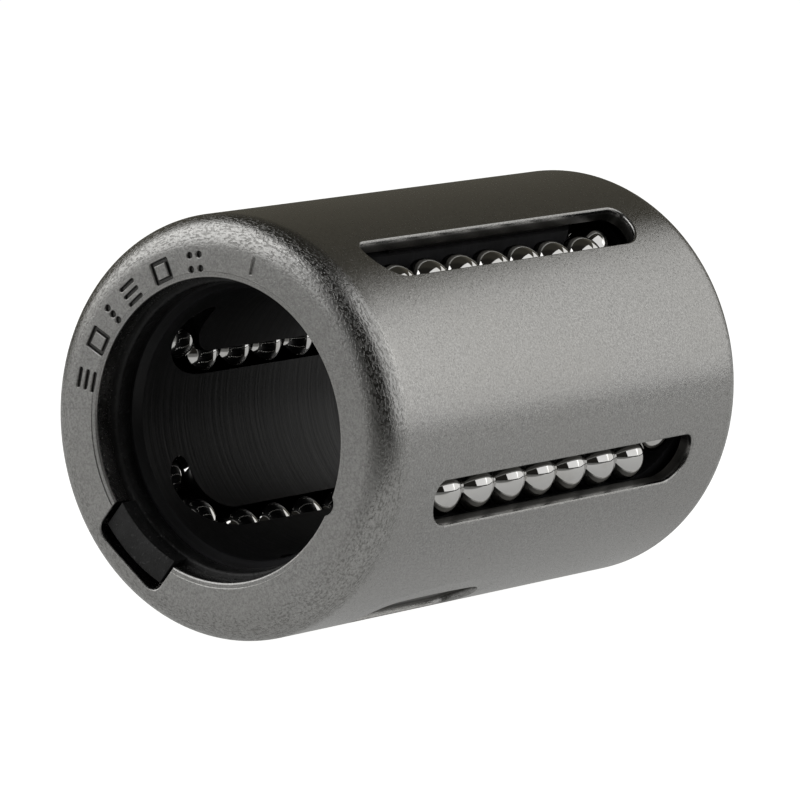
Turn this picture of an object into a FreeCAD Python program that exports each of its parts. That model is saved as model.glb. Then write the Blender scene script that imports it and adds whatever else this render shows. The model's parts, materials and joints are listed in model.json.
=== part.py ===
import FreeCAD, Part
import math
import os

# Linear ball bushing, compact drawn-cup type for a 12 mm shaft.
# The shaft axis is +Y, the marked end face is at -Y, and the origin is the centre of the bushing.
# Angles run about the shaft axis, from +X towards +Z, in degrees. Lengths are in millimetres.

# Driving dimensions
shaft_diameter = 12.0
outer_diameter = 19.0
total_length = 28.0
ball_diameter = 2.381
circuit_count = 5
first_slot_angle = 53.0

# Ball circuits: a load row on the shaft, a return row under a slot, and two half-circle turns
straight_ball_count = 6
straight_pitch = 2.40
turn_ball_angles = (30.0, 90.0, 150.0)
turn_ball_lifts = (0.18, 0.24, -0.05)
load_row_offset = 36.0
return_row_offset = -2.3
return_row_radius = 7.72
row_phase = 0.95

# Sleeve
raceway_play = 0.009
lip_thickness = 1.1
lip_bore_radius = 6.75
outer_corner_radius = 1.4
inner_corner_radius = 1.0
relief_radius = 8.8
relief_start = 6.45
slot_half_width = 1.14
slot_half_length = 10.1
slot_crown = 0.5
slot_bevel = 0.16
slot_bevel_start = 0.25
slot_bevel_run_out = 0.15
slot_flare = 0.5
slot_flare_below = 0.5
slot_flare_above = 0.35
lug_notch_angle = -129.2
lug_notch_half_width = 2.1
lug_notch_depth_radius = 8.15
lug_notch_corner = 0.6
lug_notch_run_in = 1.0
lip_nick_angle = -25.0
lip_nick_radius = 0.6
lip_nick_depth = 0.25
pocket_angle = -66.8
pocket_centre = -4.3
pocket_length = 8.2
pocket_half_width = 1.3
pocket_floor = 9.08

# How far a cutter runs past the face it cuts
cut_overrun = 0.1

# Stamped marks on the front face
mark_radius = 7.47
mark_height = 1.15
mark_stroke = 0.2
mark_depth = 0.14
mark_bar_width = 0.9
mark_frame_size = 1.035
mark_dot_diameter = 0.32
mark_dot_side = 0.26
small_dot_diameter = 0.3
index_bar_width = 0.16
index_bar_height = 0.8

# Cage
cage_bore_radius = 6.08
cage_outer_radius = 8.3
cage_half_length = 11.9
cage_mouth_radius = 6.35
cage_mouth_depth = 0.4
channel_play = 0.08
channel_wall_height = 2.6

# End rings
ring_gap = 0.03
ring_bore_radius = 6.45
ring_outer_radius = 7.75
lug_half_width = 1.9
lug_outer_radius = 7.85
lug_front_gap = 0.2
ring_edge_bevel = 0.1
lug_root_depth = 0.5

# Values worked out from the driving dimensions
shaft_radius = shaft_diameter / 2
outer_radius = outer_diameter / 2
half_length = total_length / 2
ball_radius = ball_diameter / 2
circuit_step = 360.0 / circuit_count
load_row_radius = shaft_radius + ball_radius
raceway_radius = shaft_radius + ball_diameter + raceway_play
straight_half = straight_ball_count * straight_pitch / 2
turn_phase = 30.0 * row_phase / (straight_pitch / 2)
lip_inner = half_length - lip_thickness
lip_cut_start = -half_length - cut_overrun
lip_cut_length = lip_thickness + 2 * cut_overrun
channel_radius = ball_radius + channel_play

ORIGIN = FreeCAD.Vector(0, 0, 0)
SHAFT_AXIS = FreeCAD.Vector(0, 1, 0)


def point(x, y, z=0.0):
    return FreeCAD.Vector(x, y, z)


def around_shaft(shape, angle):
    """Turn a shape made at angle 0, on the +X side, to its place round the shaft."""
    turned = shape.copy()
    turned.rotate(ORIGIN, SHAFT_AXIS, -angle)
    return turned


def polygon(points):
    return Part.makePolygon(points + [points[0]])


def arc(start, middle, end):
    return Part.Arc(start, middle, end).toShape()


def line(start, end):
    return Part.LineSegment(start, end).toShape()


def corner_point(centre_x, centre_y, radius, degrees):
    """A point of a corner circle drawn in the plane of the shaft axis and a radius."""
    turn = math.radians(degrees)
    return point(centre_x + radius * math.cos(turn), centre_y + radius * math.sin(turn))


# ---- sleeve -------------------------------------------------------------------------------

def sleeve_profile():
    """Half section of the drawn sleeve, open ended, with both lips turned in."""
    out_x = outer_radius - outer_corner_radius
    out_y = half_length - outer_corner_radius
    in_x = relief_radius - inner_corner_radius
    in_y = lip_inner - inner_corner_radius
    slope = relief_radius - raceway_radius
    edges = [
        line(point(lip_bore_radius, -half_length), point(out_x, -half_length)),
        arc(point(out_x, -half_length), corner_point(out_x, -out_y, outer_corner_radius, -45),
            point(outer_radius, -out_y)),
        line(point(outer_radius, -out_y), point(outer_radius, out_y)),
        arc(point(outer_radius, out_y), corner_point(out_x, out_y, outer_corner_radius, 45),
            point(out_x, half_length)),
        line(point(out_x, half_length), point(lip_bore_radius, half_length)),
        line(point(lip_bore_radius, half_length), point(lip_bore_radius, lip_inner)),
        line(point(lip_bore_radius, lip_inner), point(in_x, lip_inner)),
        arc(point(in_x, lip_inner), corner_point(in_x, in_y, inner_corner_radius, 45),
            point(relief_radius, in_y)),
        line(point(relief_radius, in_y), point(relief_radius, relief_start + slope)),
        line(point(relief_radius, relief_start + slope), point(raceway_radius, relief_start)),
        line(point(raceway_radius, relief_start), point(raceway_radius, -relief_start)),
        line(point(raceway_radius, -relief_start), point(relief_radius, -relief_start - slope)),
        line(point(relief_radius, -relief_start - slope), point(relief_radius, -in_y)),
        arc(point(relief_radius, -in_y), corner_point(in_x, -in_y, inner_corner_radius, -45),
            point(in_x, -lip_inner)),
        line(point(in_x, -lip_inner), point(lip_bore_radius, -lip_inner)),
        line(point(lip_bore_radius, -lip_inner), point(lip_bore_radius, -half_length)),
    ]
    return Part.Face(Part.Wire(edges))


def slot_outline(height, offset):
    """Outline of a return slot at a height over the shaft axis, grown by an offset.

    The corners on the load row's side are small and the others are large,
    because the balls leave the slot towards their load row at both ends.
    """
    half_width = slot_half_width + offset
    half_span = slot_half_length + offset
    small = half_width - slot_crown
    large = half_width + slot_crown
    small_y = half_span - small
    large_y = half_span - large
    half = math.sqrt(0.5)

    def at(y, z):
        return point(height, y, z)

    edges = [
        line(at(-small_y, half_width), at(small_y, half_width)),
        arc(at(small_y, half_width), at(small_y + small * half, slot_crown + small * half),
            at(half_span, slot_crown)),
        arc(at(half_span, slot_crown), at(large_y + large * half, slot_crown - large * half),
            at(large_y, -half_width)),
        line(at(large_y, -half_width), at(-large_y, -half_width)),
        arc(at(-large_y, -half_width), at(-large_y - large * half, slot_crown - large * half),
            at(-half_span, slot_crown)),
        arc(at(-half_span, slot_crown), at(-small_y - small * half, slot_crown + small * half),
            at(-small_y, half_width)),
    ]
    return Part.Wire(edges)


def slot_cutter():
    """A return slot with a flare inside the sleeve and a bevel on its outer edge."""
    levels = [
        (raceway_radius - slot_flare_below, slot_flare),
        (raceway_radius + slot_flare_above, 0.0),
        (outer_radius - slot_bevel_start, 0.0),
        (outer_radius + slot_bevel_run_out, slot_bevel),
    ]
    outlines = [slot_outline(height, offset) for height, offset in levels]
    return Part.makeLoft(outlines, True, True)


def lug_notch():
    """The notch in a lip that holds the lug of the end ring, cut at the front lip."""
    start = lip_bore_radius - lug_notch_run_in
    block = Part.makeBox(lug_notch_depth_radius - start, lip_cut_length, 2 * lug_notch_half_width,
                         point(start, lip_cut_start, -lug_notch_half_width))
    deep_edges = [edge for edge in block.Edges
                  if edge.BoundBox.XMin > lip_bore_radius and edge.BoundBox.YLength > lip_thickness]
    return around_shaft(block.makeFillet(lug_notch_corner, deep_edges), lug_notch_angle)


def lip_nick():
    """A small half-round nick in the edge of the front lip's hole."""
    centre = lip_bore_radius + lip_nick_depth - lip_nick_radius
    cutter = Part.makeCylinder(lip_nick_radius, lip_cut_length,
                               point(centre, lip_cut_start, 0), SHAFT_AXIS)
    return around_shaft(cutter, lip_nick_angle)


def pocket():
    """A shallow round-ended pocket in the outside of the sleeve."""
    straight = pocket_length / 2 - pocket_half_width
    block = Part.makeBox(2.0, 2 * straight, 2 * pocket_half_width,
                         point(pocket_floor, pocket_centre - straight, -pocket_half_width))
    for end in (-straight, straight):
        block = block.fuse(Part.makeCylinder(pocket_half_width, 2.0,
                                             point(pocket_floor, pocket_centre + end, 0),
                                             point(1, 0, 0)))
    return around_shaft(block, pocket_angle)


def mark_bar(tangent, radial, width, height):
    """One stamped bar, placed from the middle of its mark."""
    return Part.makeBox(height, 2 * mark_depth, width,
                        point(mark_radius + radial - height / 2, -half_length - mark_depth,
                              tangent - width / 2))


def mark_frame(size):
    """A stamped square outline."""
    outside = mark_bar(0, 0, size, size)
    inner = size - 2 * mark_stroke
    return outside.cut(mark_bar(0, 0, inner, inner))


def mark_dot(tangent, radial, diameter):
    return Part.makeCylinder(diameter / 2, 2 * mark_depth,
                             point(mark_radius + radial, -half_length - mark_depth, tangent),
                             SHAFT_AXIS)


def stamped_marks():
    """Plain index marks round the front face: bars, dots and square outlines."""
    third = mark_height / 3
    bars_3 = [mark_bar(0, shift * 2 * mark_stroke, mark_bar_width, mark_stroke)
              for shift in (-1, 0, 1)]
    dots_3 = [mark_dot(0, shift * third, mark_dot_diameter) for shift in (-1, 0, 1)]
    dots_4 = [mark_dot(side * mark_dot_side, shift * mark_dot_diameter, small_dot_diameter)
              for side in (-1, 1) for shift in (-1, 1)]
    groups = [
        (166.6, bars_3),
        (151.9, [mark_frame(mark_frame_size)]),
        (140.3, dots_3),
        (129.1, bars_3),
        (113.7, [mark_frame(mark_frame_size)]),
        (98.7, dots_4),
        (74.6, [mark_bar(0, 0, index_bar_width, index_bar_height)]),
    ]
    return [around_shaft(shape, angle) for angle, shapes in groups for shape in shapes]


def make_sleeve():
    sleeve = sleeve_profile().revolve(ORIGIN, SHAFT_AXIS, 360)
    cutters = []
    for number in range(circuit_count):
        cutters.append(around_shaft(slot_cutter(), first_slot_angle - number * circuit_step))
    front_notch = lug_notch()
    rear_notch = front_notch.copy()
    rear_notch.translate(point(0, total_length - lip_thickness, 0))
    cutters += [front_notch, rear_notch, lip_nick(), pocket()]
    cutters += stamped_marks()
    for cutter in cutters:
        sleeve = sleeve.cut(cutter)
    return sleeve


# ---- ball circuits ------------------------------------------------------------------------

def circuit_frame(number):
    """Frame of a circuit: x from load row to return row, y along the shaft, z outwards."""
    slot_angle = first_slot_angle - number * circuit_step
    load_turn = math.radians(slot_angle + load_row_offset)
    return_turn = math.radians(slot_angle + return_row_offset)
    load_row = point(load_row_radius * math.cos(load_turn), 0, load_row_radius * math.sin(load_turn))
    return_row = point(return_row_radius * math.cos(return_turn), 0,
                       return_row_radius * math.sin(return_turn))
    middle = (load_row + return_row) * 0.5
    across = return_row - load_row
    turn_radius = across.Length / 2
    across.normalize()
    outwards = across.cross(SHAFT_AXIS)
    frame = FreeCAD.Matrix(across.x, 0, outwards.x, middle.x,
                           across.y, 1, outwards.y, middle.y,
                           across.z, 0, outwards.z, middle.z,
                           0, 0, 0, 1)
    return frame, turn_radius


def straight_balls(number, side):
    """Ball centres of the load row (side -1) or the return row (side 1)."""
    frame, turn_radius = circuit_frame(number)
    first = -(straight_ball_count - 1) * straight_pitch / 2
    return [frame.multVec(point(side * turn_radius,
                                first + index * straight_pitch + side * row_phase))
            for index in range(straight_ball_count)]


def turn_balls(number, end):
    """Ball centres of the front turn (end -1) or the rear turn (end 1)."""
    frame, turn_radius = circuit_frame(number)
    centres = []
    for angle, lift in zip(turn_ball_angles, turn_ball_lifts):
        turn = math.radians(angle - end * turn_phase)
        centres.append(frame.multVec(point(-turn_radius * math.cos(turn),
                                           end * (straight_half + turn_radius * math.sin(turn)),
                                           lift)))
    return centres


def ball_group(centres):
    return Part.makeCompound([Part.makeSphere(ball_radius, centre) for centre in centres])


# ---- cage and end rings -------------------------------------------------------------------

def channel_section(x, y):
    """U-shaped section of the ball channel, round at the bottom and open outwards."""
    left = x - channel_radius
    right = x + channel_radius
    edges = [
        arc(point(left, y, 0), point(x, y, -channel_radius), point(right, y, 0)),
        line(point(right, y, 0), point(right, y, channel_wall_height)),
        line(point(right, y, channel_wall_height), point(left, y, channel_wall_height)),
        line(point(left, y, channel_wall_height), point(left, y, 0)),
    ]
    return Part.Face(Part.Wire(edges))


def ball_channel(number):
    """The closed racetrack that one circuit of balls runs in."""
    frame, turn_radius = circuit_frame(number)
    pieces = []
    for side in (-1, 1):
        section = channel_section(side * turn_radius, -straight_half)
        pieces.append(section.extrude(point(0, 2 * straight_half, 0)))
    for end in (-1, 1):
        section = channel_section(-turn_radius, end * straight_half)
        pieces.append(section.revolve(point(0, end * straight_half, 0), point(0, 0, 1), -end * 180))
    channel = pieces[0].fuse(pieces[1:])
    channel.Placement = FreeCAD.Placement(frame)
    return channel


def make_cage():
    """Moulded cage tube with a funnel at each mouth and one channel for each circuit."""
    mouth_start = cage_half_length - cage_mouth_depth
    section = polygon([
        point(cage_mouth_radius, -cage_half_length),
        point(cage_outer_radius, -cage_half_length),
        point(cage_outer_radius, cage_half_length),
        point(cage_mouth_radius, cage_half_length),
        point(cage_bore_radius, mouth_start),
        point(cage_bore_radius, -mouth_start),
    ])
    cage = Part.Face(section).revolve(ORIGIN, SHAFT_AXIS, 360)
    for number in range(circuit_count):
        cage = cage.cut(ball_channel(number))
    return cage


def make_end_ring(end):
    """End ring between the cage and a lip, with a lug that sits in the lip's notch."""
    inside = cage_half_length + ring_gap
    outside = lip_inner - ring_gap
    section = polygon([
        point(ring_bore_radius, inside),
        point(ring_outer_radius, inside),
        point(ring_outer_radius, outside),
        point(ring_bore_radius + ring_edge_bevel, outside),
        point(ring_bore_radius, outside - ring_edge_bevel),
    ])
    ring = Part.Face(section).revolve(ORIGIN, SHAFT_AXIS, 360)
    lug_end = half_length - lug_front_gap
    sector = Part.makeBox(lug_outer_radius, lug_end - inside, 2 * lug_half_width,
                          point(ring_bore_radius - lug_root_depth, inside, -lug_half_width))
    hoop = Part.makeCylinder(lug_outer_radius, lug_end - inside, point(0, inside, 0), SHAFT_AXIS)
    hoop = hoop.cut(Part.makeCylinder(ring_bore_radius + ring_edge_bevel, total_length, ORIGIN,
                                      SHAFT_AXIS))
    lug = sector.common(hoop)
    ring = ring.fuse(lug).removeSplitter()
    ring = around_shaft(ring, lug_notch_angle)
    if end < 0:
        ring = ring.mirror(ORIGIN, SHAFT_AXIS)
    return ring


# ---- write the nodes ----------------------------------------------------------------------

nodes = {
    "outer_sleeve": make_sleeve(),
    "ball_cage": make_cage(),
    "front_end_ring": make_end_ring(-1),
    "rear_end_ring": make_end_ring(1),
}
for number in range(circuit_count):
    label = str(number + 1)
    nodes["load_balls_" + label] = ball_group(straight_balls(number, -1))
    nodes["return_balls_" + label] = ball_group(straight_balls(number, 1))
    nodes["front_turn_balls_" + label] = ball_group(turn_balls(number, -1))
    nodes["rear_turn_balls_" + label] = ball_group(turn_balls(number, 1))

os.makedirs("parts", exist_ok=True)
for name, shape in nodes.items():
    shape.exportStep("parts/" + name + ".step")
    print(name, len(shape.Solids), "solids, valid", shape.isValid(), "volume", round(shape.Volume, 2))
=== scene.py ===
import json
import math

import bmesh
import bpy
from mathutils import Matrix, Vector

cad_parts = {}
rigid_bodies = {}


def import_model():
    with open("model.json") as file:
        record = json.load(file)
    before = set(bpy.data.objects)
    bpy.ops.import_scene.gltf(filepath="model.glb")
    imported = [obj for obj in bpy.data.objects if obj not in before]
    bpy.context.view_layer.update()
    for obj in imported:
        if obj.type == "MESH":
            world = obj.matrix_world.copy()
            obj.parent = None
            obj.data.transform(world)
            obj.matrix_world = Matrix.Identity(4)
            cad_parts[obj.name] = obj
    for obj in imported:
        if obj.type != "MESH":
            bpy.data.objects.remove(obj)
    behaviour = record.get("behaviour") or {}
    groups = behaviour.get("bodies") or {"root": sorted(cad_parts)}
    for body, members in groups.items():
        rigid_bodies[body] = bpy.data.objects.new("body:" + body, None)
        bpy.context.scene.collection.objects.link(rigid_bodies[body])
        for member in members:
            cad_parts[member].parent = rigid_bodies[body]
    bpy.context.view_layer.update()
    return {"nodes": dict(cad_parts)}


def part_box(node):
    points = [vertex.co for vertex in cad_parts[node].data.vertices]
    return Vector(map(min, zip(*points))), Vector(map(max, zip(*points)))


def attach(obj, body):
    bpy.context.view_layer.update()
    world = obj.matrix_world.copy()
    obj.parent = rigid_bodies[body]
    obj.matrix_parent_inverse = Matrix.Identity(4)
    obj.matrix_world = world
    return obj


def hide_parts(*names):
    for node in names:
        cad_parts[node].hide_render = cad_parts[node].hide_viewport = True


# Linear ball bushing: drawn steel sleeve, moulded cage, two end rings and five circuits of balls.
# The shaft axis is Y and the marked face looks towards -Y. Angles run from +X towards +Z.
# Sizes are written in millimetres and turned into metres with MM where a mesh is made.

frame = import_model()

MM = 0.001
CIRCUITS = 5
CIRCUIT_STEP = 360.0 / CIRCUITS
FIRST_SLOT_ANGLE = 53.0
BALL_RADIUS = 2.381 / 2

sleeve_low, sleeve_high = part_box("outer_sleeve")
OUTER_RADIUS = sleeve_high.z / MM
HALF_LENGTH = sleeve_high.y / MM
LIP_THICKNESS = 1.1
LIP_INNER = HALF_LENGTH - LIP_THICKNESS
LIP_BORE = 6.75
RACEWAY_RADIUS = 8.39
RELIEF_RADIUS = 8.8
RELIEF_START = 6.45
CORNER_RADIUS = 1.4
INNER_CORNER_RADIUS = 1.0
NOTCH_ANGLE = -129.2
NOTCH_HALF_WIDTH = 2.1
NOTCH_DEPTH_RADIUS = 8.15
NOTCH_CORNER = 0.6
NICK_ANGLE = -25.0
NICK_RADIUS = 0.6
NICK_DEPTH = 0.25

# Two vertices nearer than this, in millimetres, are one
DOUBLES = 0.001


# ---- mesh helpers ---------------------------------------------------------------------------

def make_object(name, mesh):
    piece = bpy.data.objects.new(name, mesh)
    bpy.context.scene.collection.objects.link(piece)
    return piece


def mesh_from(name, points, faces):
    """A mesh from millimetre points, with its doubles merged and its faces turned outwards."""
    mesh = bpy.data.meshes.new(name)
    mesh.from_pydata([tuple(p * MM for p in point) for point in points], [], faces)
    solid = bmesh.new()
    solid.from_mesh(mesh)
    bmesh.ops.remove_doubles(solid, verts=solid.verts, dist=DOUBLES / 2 * MM)
    bmesh.ops.recalc_face_normals(solid, faces=solid.faces)
    solid.to_mesh(mesh)
    solid.free()
    return mesh


def round_the_shaft(radius, y, angle, across=0.0):
    """A point at a radius and an angle about the shaft, moved sideways by across."""
    turn = math.radians(angle)
    return (radius * math.cos(turn) - across * math.sin(turn), y,
            radius * math.sin(turn) + across * math.cos(turn))


def arc_points(centre, radius, start, end, steps):
    turns = [math.radians(start + (end - start) * i / steps) for i in range(steps + 1)]
    return [(centre[0] + radius * math.cos(t), centre[1] + radius * math.sin(t)) for t in turns]


def turned_mesh(name, profile, steps):
    """A closed ring turned about the shaft from (radius, y) points."""
    count = len(profile)
    points = [round_the_shaft(radius, y, 360.0 * step / steps)
              for step in range(steps) for radius, y in profile]
    faces = []
    for step in range(steps):
        here, there = step * count, (step + 1) % steps * count
        faces += [(here + i, here + (i + 1) % count, there + (i + 1) % count, there + i)
                  for i in range(count)]
    return mesh_from(name, points, faces)


def lofted_mesh(name, rings):
    """A closed solid through rings of points, each ring with the same number of points."""
    count = len(rings[0])
    points = [point for ring in rings for point in ring]
    faces = [tuple(range(count)), tuple(range(len(points) - count, len(points)))]
    for level in range(len(rings) - 1):
        low, high = level * count, (level + 1) * count
        faces += [(low + i, low + (i + 1) % count, high + (i + 1) % count, high + i)
                  for i in range(count)]
    return mesh_from(name, points, faces)


def finished_mesh(piece):
    """Apply a piece's modifiers, so that it is a plain mesh again."""
    graph = bpy.context.evaluated_depsgraph_get()
    mesh = bpy.data.meshes.new_from_object(piece.evaluated_get(graph))
    piece.modifiers.clear()
    piece.data = mesh
    return mesh


def shade(piece, degrees):
    """Smooth shading, with edges sharper than the given angle kept sharp."""
    mesh = piece.data
    mesh.shade_smooth()
    mesh.set_sharp_from_angle(angle=math.radians(degrees))


# ---- sleeve ---------------------------------------------------------------------------------

# The lip hole's rim: rounded, then a narrow shelf a little below the face
RIM_ROUND = 0.10
RIM_WIDTH = 0.24
RIM_STEP = 0.035

SLEEVE_STEPS = 288
SIDE_ROWS = 34
SLOT_EDGE = 0.12


def sleeve_profile():
    """Closed section of the sleeve with both lips, as (radius, y) points."""
    out_r, out_y = OUTER_RADIUS - CORNER_RADIUS, HALF_LENGTH - CORNER_RADIUS
    in_r, in_y = RELIEF_RADIUS - INNER_CORNER_RADIUS, LIP_INNER - INNER_CORNER_RADIUS
    slope = RELIEF_RADIUS - RACEWAY_RADIUS
    rim = LIP_BORE + RIM_ROUND
    shelf = LIP_BORE + RIM_WIDTH
    side = [(OUTER_RADIUS, -out_y + 2 * out_y * i / SIDE_ROWS) for i in range(1, SIDE_ROWS)]
    half = [(RACEWAY_RADIUS, 0.0), (RACEWAY_RADIUS, RELIEF_START),
            (RELIEF_RADIUS, RELIEF_START + slope)]
    half += arc_points((in_r, in_y), INNER_CORNER_RADIUS, 0, 90, 8)
    half += [(LIP_BORE, LIP_INNER)]
    half += arc_points((rim, HALF_LENGTH - RIM_STEP - RIM_ROUND), RIM_ROUND, 180, 90, 5)
    half += [(shelf, HALF_LENGTH - RIM_STEP), (shelf + RIM_STEP, HALF_LENGTH)]
    half += [(shelf + (out_r - shelf) * i / 3, HALF_LENGTH) for i in (1, 2)]
    half += arc_points((out_r, out_y), CORNER_RADIUS, 90, 0, 20)
    mirrored = [(radius, -y) for radius, y in reversed(half[1:])]
    return half + list(reversed(side)) + mirrored


def slot_outline(grow):
    """Outline of a ball slot as (y, across), with its small corners on the load row's side."""
    width, span, crown = 1.14 + grow, 10.1 + grow, 0.5
    small, large = width - crown, width + crown
    outline = arc_points((span - small, crown), small, 90, 0, 8)
    outline += arc_points((span - large, crown), large, -6, -90, 12)
    outline += arc_points((large - span, crown), large, -90, -174, 12)
    outline += arc_points((small - span, crown), small, 180, 90, 8)
    return outline


def slot_rings(angle):
    """A slot cutter: flared inside, straight through the wall and rounded off at the surface.

    Its levels are (rise above the surface, growth of the outline, whether it follows the round).
    """
    edge = SLOT_EDGE
    flare_bottom, flare_top, flare = -1.61, -0.76, 0.5
    levels = [(flare_bottom, flare, False), (flare_top, 0.0, False)]
    levels += [(-edge + edge * math.sin(t), edge - edge * math.cos(t), True)
               for t in (math.radians(d) for d in (0, 22, 45, 68))]
    levels += [(0.03, edge * 1.25, True), (0.4, edge * 1.9, True)]
    rings = []
    for rise, grow, follow in levels:
        ring = []
        for y, across in slot_outline(grow):
            surface = math.sqrt(OUTER_RADIUS ** 2 - across ** 2) if follow else OUTER_RADIUS
            ring.append(round_the_shaft(surface + rise, y, angle, across))
        rings.append(ring)
    return rings


def face_cut_rings(outline, angle, depth, edge, draft=0.0, end=-1):
    """A cutter sunk into a lip face from outside, from an outline of (radius, across, dr, da).

    dr and da point outwards from the outline and carry the bevel and the draft of the walls.
    """
    above = 0.06
    levels = [(above, edge * 1.6), (0.0, edge), (-edge * 0.35, edge * 0.35), (-edge, 0.0),
              (-depth, -draft)]
    return [[round_the_shaft(r + grow * dr, end * (HALF_LENGTH + rise), angle, a + grow * da)
             for r, a, dr, da in outline] for rise, grow in levels]


def notch_outline():
    """The lug notch: open towards the bore, with two rounded corners at its deep side."""
    half, deep, corner, mouth = NOTCH_HALF_WIDTH, NOTCH_DEPTH_RADIUS, NOTCH_CORNER, LIP_BORE - 1.0
    outline = [(mouth, -half, -1, -1)]
    for side, start in ((-1, -90), (1, 0)):
        for i in range(7):
            t = math.radians(start + 15 * i)
            outline.append((deep - corner + corner * math.cos(t),
                            side * (half - corner) + corner * math.sin(t), math.cos(t), math.sin(t)))
    outline.append((mouth, half, -1, 1))
    return outline


def round_outline(radius, across, size, steps=20):
    turns = [2 * math.pi * i / steps for i in range(steps)]
    return [(radius + size * math.cos(t), across + size * math.sin(t), math.cos(t), math.sin(t))
            for t in turns]


def bar_outline(radius, across, high, wide):
    """A stroke with round ends. Its long side is the larger of high (radial) and wide."""
    size = min(high, wide) / 2
    reach = max(high, wide) / 2 - size
    outline = []
    for end in (1, -1):
        for i in range(7):
            t = math.radians(-90 + 30 * i) if end > 0 else math.radians(90 + 30 * i)
            along, side = end * reach + size * math.cos(t), size * math.sin(t)
            vector = (math.cos(t), math.sin(t))
            if high > wide:
                outline.append((radius + along, across + side, vector[0], vector[1]))
            else:
                outline.append((radius + side, across + along, vector[1], vector[0]))
    return outline


def index_marks():
    """Plain stamped index marks, as (angle, depth, outline): bars, square outlines and dots."""
    middle, height, stroke, depth = 7.47, 1.15, 0.2, 0.14
    bar_width, dot_side = 0.95, 0.26
    stroke_height, stroke_width, stroke_depth = 0.8, 0.14, 0.07
    marks = []
    for angle in (166.6, 129.1):
        marks += [(angle, depth, bar_outline(middle + row * 2 * stroke, 0, stroke, bar_width))
                  for row in (-1, 0, 1)]
    size = height * 0.9
    reach = (size - stroke) / 2
    for angle in (151.9, 113.7):
        for side in (-1, 1):
            marks.append((angle, depth, bar_outline(middle + side * reach, 0, stroke, size)))
            marks.append((angle, depth, bar_outline(middle, side * reach, size, stroke)))
    marks += [(140.3, depth, round_outline(middle + row * height / 3, 0, 0.8 * stroke))
              for row in (-1, 0, 1)]
    marks += [(98.7, depth, round_outline(middle + row * 0.27 * height, side * dot_side, 0.75 * stroke))
              for row in (-1, 1) for side in (-1, 1)]
    marks.append((74.6, stroke_depth, bar_outline(middle + stroke, 0, stroke_height, stroke_width)))
    return marks


def pocket_rings():
    """The shallow round-ended pocket low on the side of the sleeve."""
    angle, centre, half_wide, straight, floor = -66.8, -4.3, 1.3, 2.8, 9.08
    levels = [(floor, -0.04), (floor + 0.06, 0.0), (OUTER_RADIUS - 0.14, 0.0),
              (OUTER_RADIUS + 0.4, 0.22)]
    rings = []
    for radius, grow in levels:
        ends = arc_points((centre + straight, 0), half_wide + grow, -90, 90, 14)
        ends += arc_points((centre - straight, 0), half_wide + grow, 90, 270, 14)
        rings.append([round_the_shaft(radius, y, angle, across) for y, across in ends])
    return rings


def scoop_rings():
    """The very shallow run-in beside the pocket, cut with a large wheel along the shaft."""
    angle, centre, half_run, depth, half_wide, steps = -60.5, -4.5, 4.9, 0.1, 2.5, 24
    wheel = half_run ** 2 / (2 * depth)
    reach = half_run * 1.15
    rings = []
    for across in (-half_wide, half_wide):
        ring = []
        for i in range(steps + 1):
            y = -reach + 2 * reach * i / steps
            radius = OUTER_RADIUS - depth + y * y / (2 * wheel)
            ring.append(round_the_shaft(radius, centre + y, angle, across))
        ring += [round_the_shaft(OUTER_RADIUS + 1, centre + side * reach, angle, across)
                 for side in (1, -1)]
        rings.append(ring)
    return rings


def make_sleeve():
    """The turned sleeve with its slots, notches, nick, pocket and marks cut out."""
    sleeve = make_object("drawn_sleeve", turned_mesh("drawn_sleeve", sleeve_profile(), SLEEVE_STEPS))
    nick = round_outline(LIP_BORE + NICK_DEPTH - NICK_RADIUS, 0, NICK_RADIUS, 32)
    wall = LIP_THICKNESS + 0.1
    solids = [slot_rings(FIRST_SLOT_ANGLE - number * CIRCUIT_STEP) for number in range(CIRCUITS)]
    solids += [face_cut_rings(notch_outline(), NOTCH_ANGLE, wall, 0.07, end=end) for end in (-1, 1)]
    solids += [face_cut_rings(nick, NICK_ANGLE, wall, 0.05), pocket_rings(), scoop_rings()]
    solids += [face_cut_rings(outline, angle, depth, 0.035, draft=0.03)
               for angle, depth, outline in index_marks()]
    cutters = bpy.data.collections.new("cutters")
    for number, rings in enumerate(solids):
        name = "cutter_" + str(number)
        cutters.objects.link(bpy.data.objects.new(name, lofted_mesh(name, rings)))
    cut = sleeve.modifiers.new("cuts", "BOOLEAN")
    cut.operation = "DIFFERENCE"
    cut.solver = "EXACT"
    cut.operand_type = "COLLECTION"
    cut.collection = cutters
    finished_mesh(sleeve)
    for cutter in list(cutters.objects):
        bpy.data.objects.remove(cutter)
    bpy.data.collections.remove(cutters)
    shade(sleeve, 24)
    return sleeve


# ---- cage and end rings -----------------------------------------------------------------------

def refined_copy(node, name, edge=0.0):
    """A CAD node's shape as one smooth mesh, its sharp edges rounded off where edge is given."""
    solid = bmesh.new()
    solid.from_mesh(frame["nodes"][node].data)
    bmesh.ops.remove_doubles(solid, verts=solid.verts, dist=DOUBLES * MM)
    if edge:
        bmesh.ops.dissolve_limit(solid, angle_limit=math.radians(0.4), verts=solid.verts,
                                 edges=solid.edges, use_dissolve_boundaries=False)
    mesh = bpy.data.meshes.new(name)
    solid.to_mesh(mesh)
    solid.free()
    mesh.materials.clear()
    if "custom_normal" in mesh.attributes:
        mesh.attributes.remove(mesh.attributes["custom_normal"])
    piece = make_object(name, mesh)
    if edge:
        bevel = piece.modifiers.new("edges", "BEVEL")
        bevel.width = edge * MM
        bevel.segments = 2
        bevel.limit_method = "ANGLE"
        bevel.angle_limit = math.radians(35)
        bevel.use_clamp_overlap = True
        finished_mesh(piece)
    shade(piece, 30)
    return piece


# ---- balls ------------------------------------------------------------------------------------

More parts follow.
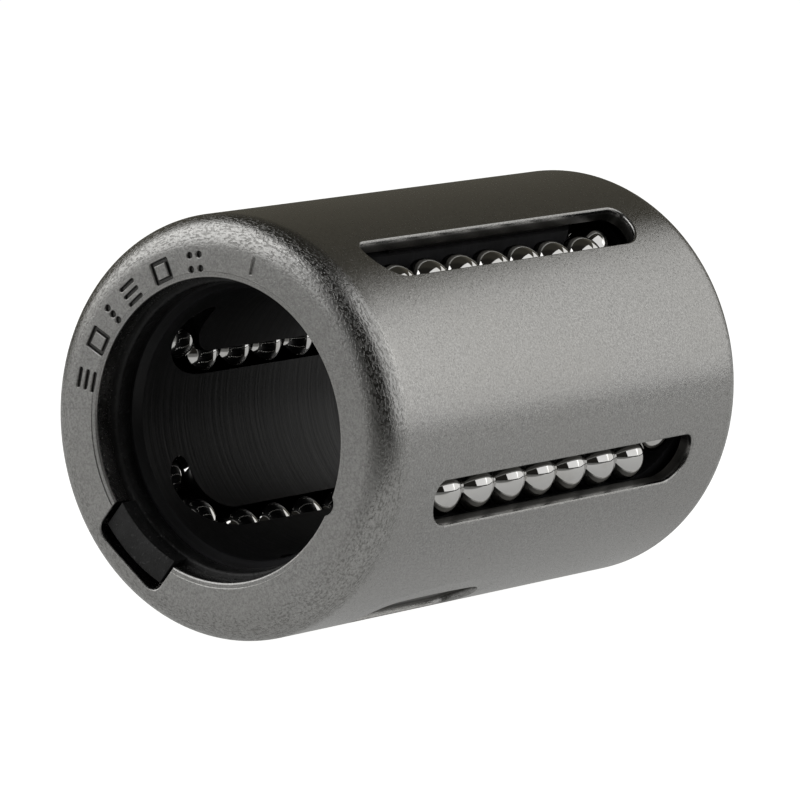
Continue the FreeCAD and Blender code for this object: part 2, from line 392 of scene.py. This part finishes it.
def ball_centres(node):
    """Middle of each ball in a CAD node, from the loose parts of its mesh."""
    solid = bmesh.new()
    solid.from_mesh(frame["nodes"][node].data)
    bmesh.ops.remove_doubles(solid, verts=solid.verts, dist=DOUBLES * MM)
    waiting = set(solid.verts)
    centres = []
    while waiting:
        group = [waiting.pop()]
        for vert in group:
            for edge in vert.link_edges:
                other = edge.other_vert(vert)
                if other in waiting:
                    waiting.remove(other)
                    group.append(other)
        low = Vector([min(v.co[axis] for v in group) for axis in range(3)])
        high = Vector([max(v.co[axis] for v in group) for axis in range(3)])
        centres.append((low + high) / 2)
    solid.free()
    return sorted(centres, key=lambda c: c.y)


def ball_tree():
    """Puts one polished ball on each point: instances, made real, smooth and with a material."""
    tree = bpy.data.node_groups.new("ball_row", "GeometryNodeTree")
    face = tree.interface
    face.new_socket("Geometry", in_out="INPUT", socket_type="NodeSocketGeometry")
    face.new_socket("Radius", in_out="INPUT", socket_type="NodeSocketFloat")
    face.new_socket("Segments", in_out="INPUT", socket_type="NodeSocketInt")
    face.new_socket("Tilt", in_out="INPUT", socket_type="NodeSocketFloat")
    face.new_socket("Seed", in_out="INPUT", socket_type="NodeSocketInt")
    face.new_socket("Material", in_out="INPUT", socket_type="NodeSocketMaterial")
    face.new_socket("Geometry", in_out="OUTPUT", socket_type="NodeSocketGeometry")
    nodes, links = tree.nodes, tree.links
    start = nodes.new("NodeGroupInput")
    end = nodes.new("NodeGroupOutput")
    rings = nodes.new("ShaderNodeMath")
    rings.operation = "DIVIDE"
    rings.inputs[1].default_value = 2
    sphere = nodes.new("GeometryNodeMeshUVSphere")
    spin = nodes.new("FunctionNodeRandomValue")
    spin.data_type = "FLOAT_VECTOR"
    place = nodes.new("GeometryNodeInstanceOnPoints")
    real = nodes.new("GeometryNodeRealizeInstances")
    smooth = nodes.new("GeometryNodeSetShadeSmooth")
    finish = nodes.new("GeometryNodeSetMaterial")
    links.new(start.outputs["Segments"], sphere.inputs["Segments"])
    links.new(start.outputs["Segments"], rings.inputs[0])
    links.new(rings.outputs[0], sphere.inputs["Rings"])
    links.new(start.outputs["Radius"], sphere.inputs["Radius"])
    links.new(start.outputs["Tilt"], spin.inputs[1])
    links.new(start.outputs["Seed"], spin.inputs["Seed"])
    links.new(start.outputs["Geometry"], place.inputs["Points"])
    links.new(sphere.outputs["Mesh"], place.inputs["Instance"])
    links.new(spin.outputs[0], place.inputs["Rotation"])
    links.new(place.outputs["Instances"], real.inputs["Geometry"])
    links.new(real.outputs["Geometry"], smooth.inputs["Geometry"])
    links.new(smooth.outputs["Geometry"], finish.inputs["Geometry"])
    links.new(start.outputs["Material"], finish.inputs["Material"])
    links.new(finish.outputs["Geometry"], end.inputs["Geometry"])
    return tree


def make_balls(node, name, tree, material, seed):
    """The polished balls of one CAD ball group, as one mesh."""
    mesh = bpy.data.meshes.new(name)
    mesh.from_pydata(ball_centres(node), [], [])
    piece = make_object(name, mesh)
    grow = piece.modifiers.new("balls", "NODES")
    grow.node_group = tree
    values = {"Radius": BALL_RADIUS * MM, "Segments": 44, "Tilt": 3.1, "Seed": seed, "Material": material}
    for item in tree.interface.items_tree:
        if item.in_out == "INPUT" and item.name in values:
            grow[item.identifier] = values[item.name]
    finished_mesh(piece)
    return piece


# ---- shader groups ----------------------------------------------------------------------------

class Shading:
    """Short names for adding and joining shader nodes in one tree."""

    def __init__(self, tree):
        self.tree = tree

    def node(self, kind, **settings):
        made = self.tree.nodes.new(kind)
        for key, value in settings.items():
            setattr(made, key, value)
        return made

    def join(self, source, target):
        self.tree.links.new(source, target)

    def math(self, operation, first, second=0.0, clamp=False):
        made = self.node("ShaderNodeMath", operation=operation, use_clamp=clamp)
        for socket, value in zip(made.inputs, (first, second)):
            if isinstance(value, (int, float)):
                socket.default_value = value
            else:
                self.join(value, socket)
        return made.outputs[0]

    def noise(self, vector, scale, detail=3.0, roughness=0.55):
        made = self.node("ShaderNodeTexNoise")
        made.inputs["Detail"].default_value = detail
        made.inputs["Roughness"].default_value = roughness
        self.join(vector, made.inputs["Vector"])
        if isinstance(scale, (int, float)):
            made.inputs["Scale"].default_value = scale
        else:
            self.join(scale, made.inputs["Scale"])
        return made.outputs[0]

    def ramp(self, value, low, high):
        """0 below low, 1 above high and a smooth rise between."""
        made = self.node("ShaderNodeMapRange", interpolation_type="SMOOTHSTEP")
        made.inputs["From Min"].default_value = low
        made.inputs["From Max"].default_value = high
        self.join(value, made.inputs["Value"])
        return made.outputs["Result"]

    def blend(self, factor, first, second):
        """Mix two colours, given as tuples or sockets."""
        made = self.node("ShaderNodeMix", data_type="RGBA")
        self.join(factor, made.inputs["Factor"])
        for socket, value in ((made.inputs["A"], first), (made.inputs["B"], second)):
            if isinstance(value, tuple):
                socket.default_value = value + (1.0,)
            else:
                self.join(value, socket)
        return made.outputs["Result"]


def new_group(name, inputs, outputs):
    tree = bpy.data.node_groups.new(name, "ShaderNodeTree")
    for label, kind in inputs:
        tree.interface.new_socket(label, in_out="INPUT", socket_type=kind)
    for label, kind in outputs:
        tree.interface.new_socket(label, in_out="OUTPUT", socket_type=kind)
    shading = Shading(tree)
    return tree, shading, shading.node("NodeGroupInput"), shading.node("NodeGroupOutput")


def mottle_group():
    """Cloudy tone and fine speckle, both about 0.5 on average."""
    tree, s, start, end = new_group(
        "mottle",
        [("Vector", "NodeSocketVector"), ("Cloud Size", "NodeSocketFloat"),
         ("Speck Size", "NodeSocketFloat")],
        [("Cloud", "NodeSocketFloat"), ("Speck", "NodeSocketFloat")])
    cloud_scale = s.math("DIVIDE", 1.0, start.outputs["Cloud Size"])
    speck_scale = s.math("DIVIDE", 1.0, start.outputs["Speck Size"])
    s.join(s.noise(start.outputs["Vector"], cloud_scale, 3.0, 0.6), end.inputs["Cloud"])
    s.join(s.noise(start.outputs["Vector"], speck_scale, 4.0, 0.7), end.inputs["Speck"])
    return tree


def pits_group():
    """Small sunk pits of a tumbled surface, longer round the shaft: 1 in a pit, 0 between pits."""
    tree, s, start, end = new_group(
        "pits",
        [("Vector", "NodeSocketVector"), ("Pit Size", "NodeSocketFloat"), ("Stretch", "NodeSocketFloat"),
         ("Amount", "NodeSocketFloat")],
        [("Pit", "NodeSocketFloat")])
    split = s.node("ShaderNodeSeparateXYZ")
    s.join(start.outputs["Vector"], split.inputs[0])
    turn = s.math("ARCTAN2", split.outputs["Z"], split.outputs["X"])
    distance = s.math("SQRT", s.math("ADD", s.math("POWER", split.outputs["X"], 2.0),
                                     s.math("POWER", split.outputs["Z"], 2.0)))
    rolled = s.node("ShaderNodeCombineXYZ")
    arc = s.math("MULTIPLY", turn, OUTER_RADIUS * MM)
    s.join(s.math("DIVIDE", arc, start.outputs["Stretch"]), rolled.inputs["X"])
    s.join(split.outputs["Y"], rolled.inputs["Y"])
    s.join(distance, rolled.inputs["Z"])
    scale = s.math("DIVIDE", 1.0, start.outputs["Pit Size"])
    warp = s.noise(rolled.outputs[0], scale, 2.0, 0.5)
    limit = s.math("SUBTRACT", 0.80, s.math("MULTIPLY", start.outputs["Amount"], 0.30))
    over = s.math("SUBTRACT", warp, limit)
    s.join(s.math("MULTIPLY", over, 9.0, clamp=True), end.inputs["Pit"])
    return tree


def ring_lines_group():
    """Fine lines round the shaft, as tool marks are, broken up along their length."""
    tree, s, start, end = new_group(
        "ring_lines",
        [("Vector", "NodeSocketVector"), ("Line Pitch", "NodeSocketFloat"), ("Drag", "NodeSocketFloat")],
        [("Line", "NodeSocketFloat")])
    split = s.node("ShaderNodeSeparateXYZ")
    s.join(start.outputs["Vector"], split.inputs[0])
    along = s.math("DIVIDE", split.outputs["Y"], start.outputs["Line Pitch"])
    slow = s.math("DIVIDE", 1.0, s.math("MULTIPLY", start.outputs["Line Pitch"], start.outputs["Drag"]))
    place = s.node("ShaderNodeCombineXYZ")
    s.join(s.math("MULTIPLY", split.outputs["X"], slow), place.inputs["X"])
    s.join(along, place.inputs["Y"])
    s.join(s.math("MULTIPLY", split.outputs["Z"], slow), place.inputs["Z"])
    s.join(s.noise(place.outputs[0], 1.0, 2.0, 0.6), end.inputs["Line"])
    return tree


def sleeve_zones_group():
    """Masks from where a point lies on a turned sleeve.

    Corner is the rounded corner, Face the flat end, Inside the bore side with the slots' walls,
    and Sunk the floors of the stamped marks. Distance is how far the point is from the shaft axis.
    """
    tree, s, start, end = new_group(
        "sleeve_zones",
        [("Vector", "NodeSocketVector"), ("Half Length", "NodeSocketFloat"), ("Radius", "NodeSocketFloat"),
         ("Corner", "NodeSocketFloat")],
        [("Corner", "NodeSocketFloat"), ("Face", "NodeSocketFloat"), ("Inside", "NodeSocketFloat"),
         ("Sunk", "NodeSocketFloat"), ("Distance", "NodeSocketFloat")])
    split = s.node("ShaderNodeSeparateXYZ")
    s.join(start.outputs["Vector"], split.inputs[0])
    distance = s.math("SQRT", s.math("ADD", s.math("POWER", split.outputs["X"], 2.0),
                                     s.math("POWER", split.outputs["Z"], 2.0)))
    along = s.math("ABSOLUTE", split.outputs["Y"])
    end_y = s.math("SUBTRACT", start.outputs["Half Length"], start.outputs["Corner"])
    end_r = s.math("SUBTRACT", start.outputs["Radius"], start.outputs["Corner"])
    past_y = s.math("DIVIDE", s.math("SUBTRACT", along, end_y), start.outputs["Corner"])
    past_r = s.math("DIVIDE", s.math("SUBTRACT", distance, end_r), start.outputs["Corner"])
    corner = s.math("MULTIPLY", s.ramp(past_y, -0.25, 0.35), s.ramp(past_r, -0.25, 0.35))
    face = s.ramp(past_y, 0.8, 0.98)
    inside = s.math("MULTIPLY", s.ramp(past_r, 0.9, 0.75), s.ramp(past_y, 0.0, -0.1))
    depth = s.math("SUBTRACT", start.outputs["Half Length"], along)
    sunk = s.math("MULTIPLY", s.ramp(depth, 0.02 * MM, 0.11 * MM), s.ramp(depth, 0.3 * MM, 0.2 * MM))
    stamped = s.math("MULTIPLY", sunk, s.ramp(distance, 8.3 * MM, 8.2 * MM))
    stamped = s.math("MULTIPLY", stamped, s.ramp(distance, 6.84 * MM, 6.86 * MM))
    for label, value in (("Corner", corner), ("Face", face), ("Inside", inside), ("Sunk", stamped),
                         ("Distance", distance)):
        s.join(value, end.inputs[label])
    return tree


# ---- materials --------------------------------------------------------------------------------

def new_material(name):
    material = bpy.data.materials.new(name)
    material.use_nodes = True
    shading = Shading(material.node_tree)
    shader = material.node_tree.nodes["Principled BSDF"]
    where = shading.node("ShaderNodeTexCoord").outputs["Object"]
    return material, shading, shader, where


def add_group(shading, tree, vector, **values):
    group = shading.node("ShaderNodeGroup", node_tree=tree)
    shading.join(vector, group.inputs["Vector"])
    for label, value in values.items():
        group.inputs[label.replace("_", " ")].default_value = value
    return group


def add_bump(shading, shader, layers):
    """Stack bumps on a shader from (height, depth in metres) layers."""
    previous = None
    for height, depth in layers:
        bump = shading.node("ShaderNodeBump")
        bump.inputs["Strength"].default_value = 1.0
        bump.inputs["Distance"].default_value = depth
        shading.join(height, bump.inputs["Height"])
        if previous:
            shading.join(previous, bump.inputs["Normal"])
        previous = bump.outputs["Normal"]
    shading.join(previous, shader.inputs["Normal"])


def sleeve_steel(groups):
    """Hardened, tumbled steel: satin grey with specks, pitted on its rounded corners, with painted shade on
    the bore side and the slots' walls.
    """
    material, s, shader, where = new_material("tumbled_steel")
    zones = add_group(s, groups["sleeve_zones"], where, Half_Length=HALF_LENGTH * MM,
                      Radius=OUTER_RADIUS * MM, Corner=CORNER_RADIUS * MM)
    mottle = add_group(s, groups["mottle"], where, Cloud_Size=1.6 * MM, Speck_Size=0.09 * MM)
    broad = add_group(s, groups["mottle"], where, Cloud_Size=6.0 * MM, Speck_Size=0.32 * MM)
    pits = add_group(s, groups["pits"], where, Pit_Size=0.10 * MM, Stretch=1.3, Amount=0.6)
    corner_pits = add_group(s, groups["pits"], where, Pit_Size=0.085 * MM, Stretch=2.4, Amount=0.98)
    lines = add_group(s, groups["ring_lines"], where, Line_Pitch=0.05 * MM, Drag=60.0)

    strong = s.math("MULTIPLY", corner_pits.outputs["Pit"], zones.outputs["Corner"])
    all_pits = s.math("MAXIMUM", strong, s.math("MULTIPLY", pits.outputs["Pit"], 0.7))
    dark_grain, pale_grain = (0.235, 0.233, 0.228), (0.475, 0.472, 0.462)
    warm_cloud, pit_shade = (0.345, 0.34, 0.325), (0.11, 0.107, 0.10)
    mark_shade, inside_painted_shade = (0.03, 0.029, 0.028), (0.055, 0.053, 0.048)
    cloud = s.math("MULTIPLY", s.ramp(broad.outputs["Cloud"], 0.3, 0.7), 0.35)
    tone = s.blend(s.ramp(mottle.outputs["Speck"], 0.25, 0.75), dark_grain, pale_grain)
    tone = s.blend(cloud, tone, warm_cloud)
    tone = s.blend(s.math("MULTIPLY", all_pits, 0.42), tone, pit_shade)
    tone = s.blend(s.math("MULTIPLY", zones.outputs["Sunk"], 0.8), tone, mark_shade)
    # Painted shade: the bore side and the slots' walls are painted much darker, standing in for the shade
    # they lie in
    tone = s.blend(s.math("MULTIPLY", zones.outputs["Inside"], 0.9), tone, inside_painted_shade)
    s.join(tone, shader.inputs["Base Color"])
    shader.inputs["Metallic"].default_value = 1.0

    rough = s.math("ADD", 0.17, s.math("MULTIPLY", mottle.outputs["Speck"], 0.12))
    rough = s.math("ADD", rough, s.math("MULTIPLY", all_pits, 0.14))
    rough = s.math("ADD", rough, s.math("MULTIPLY", zones.outputs["Face"], 0.12))
    rough = s.math("ADD", rough, s.math("MULTIPLY", zones.outputs["Inside"], 0.2))
    s.join(rough, shader.inputs["Roughness"])
    add_bump(s, shader, [
        (broad.outputs["Speck"], 0.008 * MM),
        (mottle.outputs["Speck"], 0.006 * MM),
        (s.math("SUBTRACT", 1.0, all_pits), 0.007 * MM),
        (s.math("MULTIPLY", lines.outputs["Line"], zones.outputs["Inside"]), 0.01 * MM),
    ])
    return material


def cage_plastic(groups):
    """Black moulded plastic with fine lines round its bore, duller outside it."""
    material, s, shader, where = new_material("cage_plastic")
    lines = add_group(s, groups["ring_lines"], where, Line_Pitch=0.22 * MM, Drag=35.0)
    mottle = add_group(s, groups["mottle"], where, Cloud_Size=2.5 * MM, Speck_Size=0.2 * MM)
    line = s.math("MULTIPLY", s.ramp(lines.outputs["Line"], 0.45, 0.75), 0.6)
    tone = s.blend(s.ramp(mottle.outputs["Cloud"], 0.3, 0.7), (0.007, 0.007, 0.0075), (0.013, 0.013, 0.014))
    tone = s.blend(line, tone, (0.024, 0.024, 0.027))
    s.join(tone, shader.inputs["Base Color"])
    zones = add_group(s, groups["sleeve_zones"], where, Half_Length=HALF_LENGTH * MM,
                      Radius=OUTER_RADIUS * MM, Corner=CORNER_RADIUS * MM)
    outside = s.math("MULTIPLY", s.ramp(zones.outputs["Distance"], 6.4 * MM, 6.9 * MM), 0.5)
    rough = s.math("ADD", 0.24, s.math("MULTIPLY", lines.outputs["Line"], 0.28))
    s.join(s.math("ADD", rough, outside), shader.inputs["Roughness"])
    shader.inputs["IOR"].default_value = 1.45
    shader.inputs["Specular IOR Level"].default_value = 0.3
    add_bump(s, shader, [(lines.outputs["Line"], 0.012 * MM), (mottle.outputs["Speck"], 0.004 * MM)])
    return material


def ring_plastic(groups):
    """The end rings' plastic: a little greyer, with a torn, grainy skin."""
    material, s, shader, where = new_material("ring_plastic")
    mottle = add_group(s, groups["mottle"], where, Cloud_Size=0.7 * MM, Speck_Size=0.14 * MM)
    pits = add_group(s, groups["pits"], where, Pit_Size=0.22 * MM, Stretch=1.0, Amount=0.6)
    lines = add_group(s, groups["ring_lines"], where, Line_Pitch=0.3 * MM, Drag=60.0)
    cloud = s.ramp(mottle.outputs["Cloud"], 0.35, 0.7)
    tone = s.blend(cloud, (0.006, 0.006, 0.006), (0.015, 0.015, 0.0155))
    tone = s.blend(s.math("MULTIPLY", pits.outputs["Pit"], 0.6), tone, (0.05, 0.05, 0.05))
    s.join(tone, shader.inputs["Base Color"])
    roughness = s.math("ADD", 0.30, s.math("MULTIPLY", mottle.outputs["Speck"], 0.3))
    s.join(roughness, shader.inputs["Roughness"])
    shader.inputs["IOR"].default_value = 1.5
    shader.inputs["Specular IOR Level"].default_value = 0.3
    add_bump(s, shader, [(mottle.outputs["Speck"], 0.03 * MM), (pits.outputs["Pit"], 0.02 * MM),
                         (lines.outputs["Line"], 0.05 * MM)])
    return material


def ball_steel(groups):
    """Bearing steel balls, lapped to a mirror, with a faint uneven film of oil."""
    material, s, shader, where = new_material("ball_steel")
    mottle = add_group(s, groups["mottle"], where, Cloud_Size=1.2 * MM, Speck_Size=0.05 * MM)
    film = s.ramp(mottle.outputs["Cloud"], 0.45, 0.75)
    s.join(s.blend(film, (0.66, 0.655, 0.645), (0.60, 0.59, 0.57)), shader.inputs["Base Color"])
    shader.inputs["Metallic"].default_value = 1.0
    s.join(s.math("ADD", 0.035, s.math("MULTIPLY", film, 0.04)), shader.inputs["Roughness"])
    add_bump(s, shader, [(mottle.outputs["Speck"], 0.00008 * MM)])
    return material


def dress(piece, material, body, slot, *nodes):
    piece.data.materials.clear()
    piece.data.materials.append(material)
    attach(piece, body)
    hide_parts(*nodes)


# ---- studio -----------------------------------------------------------------------------------

CAMERA_AZIMUTH = 36.036
CAMERA_ELEVATION = 7.230
# The level direction toward the camera
CAMERA_SIDE = (0.588, -0.809, 0.0)


def make_camera():
    """A long lens from the right of the marked face and a little above the shaft."""
    azimuth, elevation = math.radians(CAMERA_AZIMUTH), math.radians(CAMERA_ELEVATION)
    distance = 303.58
    aim = Vector((-0.11, -0.09, -0.08)) * MM
    back = Vector((math.sin(azimuth) * math.cos(elevation), -math.cos(azimuth) * math.cos(elevation),
                   math.sin(elevation)))
    lens = bpy.data.cameras.new("camera")
    lens.lens = 299.34
    lens.sensor_width = 36.0
    lens.clip_start = 0.01
    lens.clip_end = 20.0
    camera = make_object("camera", lens)
    camera.location = aim + back * distance * MM
    camera.rotation_euler = (-back).to_track_quat("-Z", "Y").to_euler()
    bpy.context.scene.camera = camera


def plain_light(name, size, place, brightness):
    """A soft rectangular lamp turned towards the bushing.

    Its place is an angle from +X, a height angle and a distance in metres.
    """
    around, up, distance = math.radians(place[0]), math.radians(place[1]), place[2]
    towards = Vector((math.cos(around) * math.cos(up), math.sin(around) * math.cos(up), math.sin(up)))
    lamp = bpy.data.lights.new(name, "AREA")
    lamp.shape = "RECTANGLE"
    lamp.size, lamp.size_y = size
    lamp.energy = brightness * math.pi * lamp.size * lamp.size_y
    light = make_object(name, lamp)
    light.location = towards * distance
    light.rotation_euler = (-towards).to_track_quat("-Z", "Y").to_euler()
    light.visible_camera = False
    return light


def make_flag():
    """A low black strip at the foot of the right softbox, which parts it from the table in reflections."""
    low, high, distance, half_wide = sleeve_low.z, sleeve_low.z + 4.0 * MM, 104 * MM, 160 * MM
    turn = Matrix.Rotation(math.radians(31.4), 4, "Z")
    points = [turn @ Vector((distance, side * half_wide, z))
              for side, z in ((-1, low), (1, low), (1, high), (-1, high))]
    mesh = bpy.data.meshes.new("flag")
    mesh.from_pydata(points, [], [(0, 1, 2, 3)])
    material = bpy.data.materials.new("flag_black")
    material.use_nodes = True
    shader = material.node_tree.nodes["Principled BSDF"]
    shader.inputs["Base Color"].default_value = (0.01, 0.01, 0.01, 1.0)
    mesh.materials.append(material)
    flag = make_object("flag", mesh)
    flag.visible_camera = False


TABLE_GLOW = 0.39


def make_floor():
    """A plain pale table that glows instead of being lit, brighter to the eye than it is in reflections.

    In reflections its painted glow is darker far off and in front of the part.
    """
    mesh = bpy.data.meshes.new("floor")
    reach = 4.0
    level = sleeve_low.z
    mesh.from_pydata([(-reach, -reach, level), (reach, -reach, level), (reach, reach, level),
                      (-reach, reach, level)], [], [(0, 1, 2, 3)])
    floor = make_object("floor", mesh)
    material = bpy.data.materials.new("floor_white")
    material.use_nodes = True
    s = Shading(material.node_tree)
    shader = material.node_tree.nodes["Principled BSDF"]
    shader.inputs["Base Color"].default_value = (0.30, 0.30, 0.295, 1.0)
    shader.inputs["Roughness"].default_value = 0.9
    shader.inputs["Specular IOR Level"].default_value = 0.0
    seen = s.node("ShaderNodeLightPath").outputs["Is Camera Ray"]
    shader.inputs["Emission Color"].default_value = (1.0, 1.0, 0.99, 1.0)
    where = s.node("ShaderNodeTexCoord").outputs["Object"]
    length = s.node("ShaderNodeVectorMath", operation="LENGTH")
    s.join(where, length.inputs[0])
    ahead = s.node("ShaderNodeVectorMath", operation="DOT_PRODUCT")
    s.join(where, ahead.inputs[0])
    ahead.inputs[1].default_value = CAMERA_SIDE
    lit = s.math("MULTIPLY", s.ramp(length.outputs["Value"], 0.45, 0.22),
                 s.ramp(ahead.outputs["Value"], 0.045, 0.03))
    # Painted light: the table glows pure white to the camera, and in reflections as a dimmer pool around
    # the part
    glow = s.math("MAXIMUM", s.math("MULTIPLY", lit, TABLE_GLOW), seen)
    s.join(glow, shader.inputs["Emission Strength"])
    mesh.materials.append(material)


def make_room():
    """Dim surroundings: warm grey near the ground, darker overhead and darkest in front."""
    low_room, high_room, front_room = (0.105, 0.098, 0.078), (0.036, 0.034, 0.028), (0.016, 0.015, 0.013)
    world = bpy.data.worlds.new("studio")
    bpy.context.scene.world = world
    world.use_nodes = True
    background = world.node_tree.nodes["Background"]
    s = Shading(world.node_tree)
    split = s.node("ShaderNodeSeparateXYZ")
    direction = s.node("ShaderNodeTexCoord").outputs["Generated"]
    s.join(direction, split.inputs[0])
    ahead = s.node("ShaderNodeVectorMath", operation="DOT_PRODUCT")
    s.join(direction, ahead.inputs[0])
    ahead.inputs[1].default_value = CAMERA_SIDE
    room = s.blend(s.ramp(split.outputs["Z"], 0.45, 0.85), low_room, high_room)
    room = s.blend(s.ramp(ahead.outputs["Value"], -0.1, 0.25), room, front_room)
    seen = s.node("ShaderNodeLightPath").outputs["Is Camera Ray"]
    s.join(s.blend(seen, room, (1.0, 1.0, 0.99)), background.inputs["Color"])


def make_studio():
    """Two softboxes on the right, a key light on the left, the room and the table."""
    make_room()
    plain_light("right_front_softbox", (0.17, 0.19), (13, 31, 0.15), 0.97)
    plain_light("right_rear_softbox", (0.12, 0.10), (60, 18, 0.13), 0.88)
    plain_light("left_key", (0.30, 0.28), (-138, 35, 0.25), 1.75)
    make_floor()
    make_flag()
    bpy.context.scene.view_settings.view_transform = "Standard"


# ---- put it together ----------------------------------------------------------------------------

make_camera()
make_studio()

groups = {
    "mottle": mottle_group(),
    "pits": pits_group(),
    "ring_lines": ring_lines_group(),
    "sleeve_zones": sleeve_zones_group(),
}
steel = sleeve_steel(groups)
black = cage_plastic(groups)
grey_black = ring_plastic(groups)
polished = ball_steel(groups)

dress(make_sleeve(), steel, "housing", "sleeve_steel", "outer_sleeve")
dress(refined_copy("ball_cage", "moulded_cage"), black, "housing", "cage_plastic", "ball_cage")
for end in ("front", "rear"):
    ring = refined_copy(end + "_end_ring", end + "_ring", 0.06)
    dress(ring, grey_black, "housing", "ring_plastic", end + "_end_ring")

tree = ball_tree()
seed = 0
for number in range(1, CIRCUITS + 1):
    for part in ("load", "return", "front_turn", "rear_turn"):
        node = part + "_balls_" + str(number)
        balls = make_balls(node, "polished_" + node, tree, polished, seed)
        body = part + ("_row_" if part in ("load", "return") else "_") + str(number)
        dress(balls, polished, body, "ball_steel", node)
        seed += 1
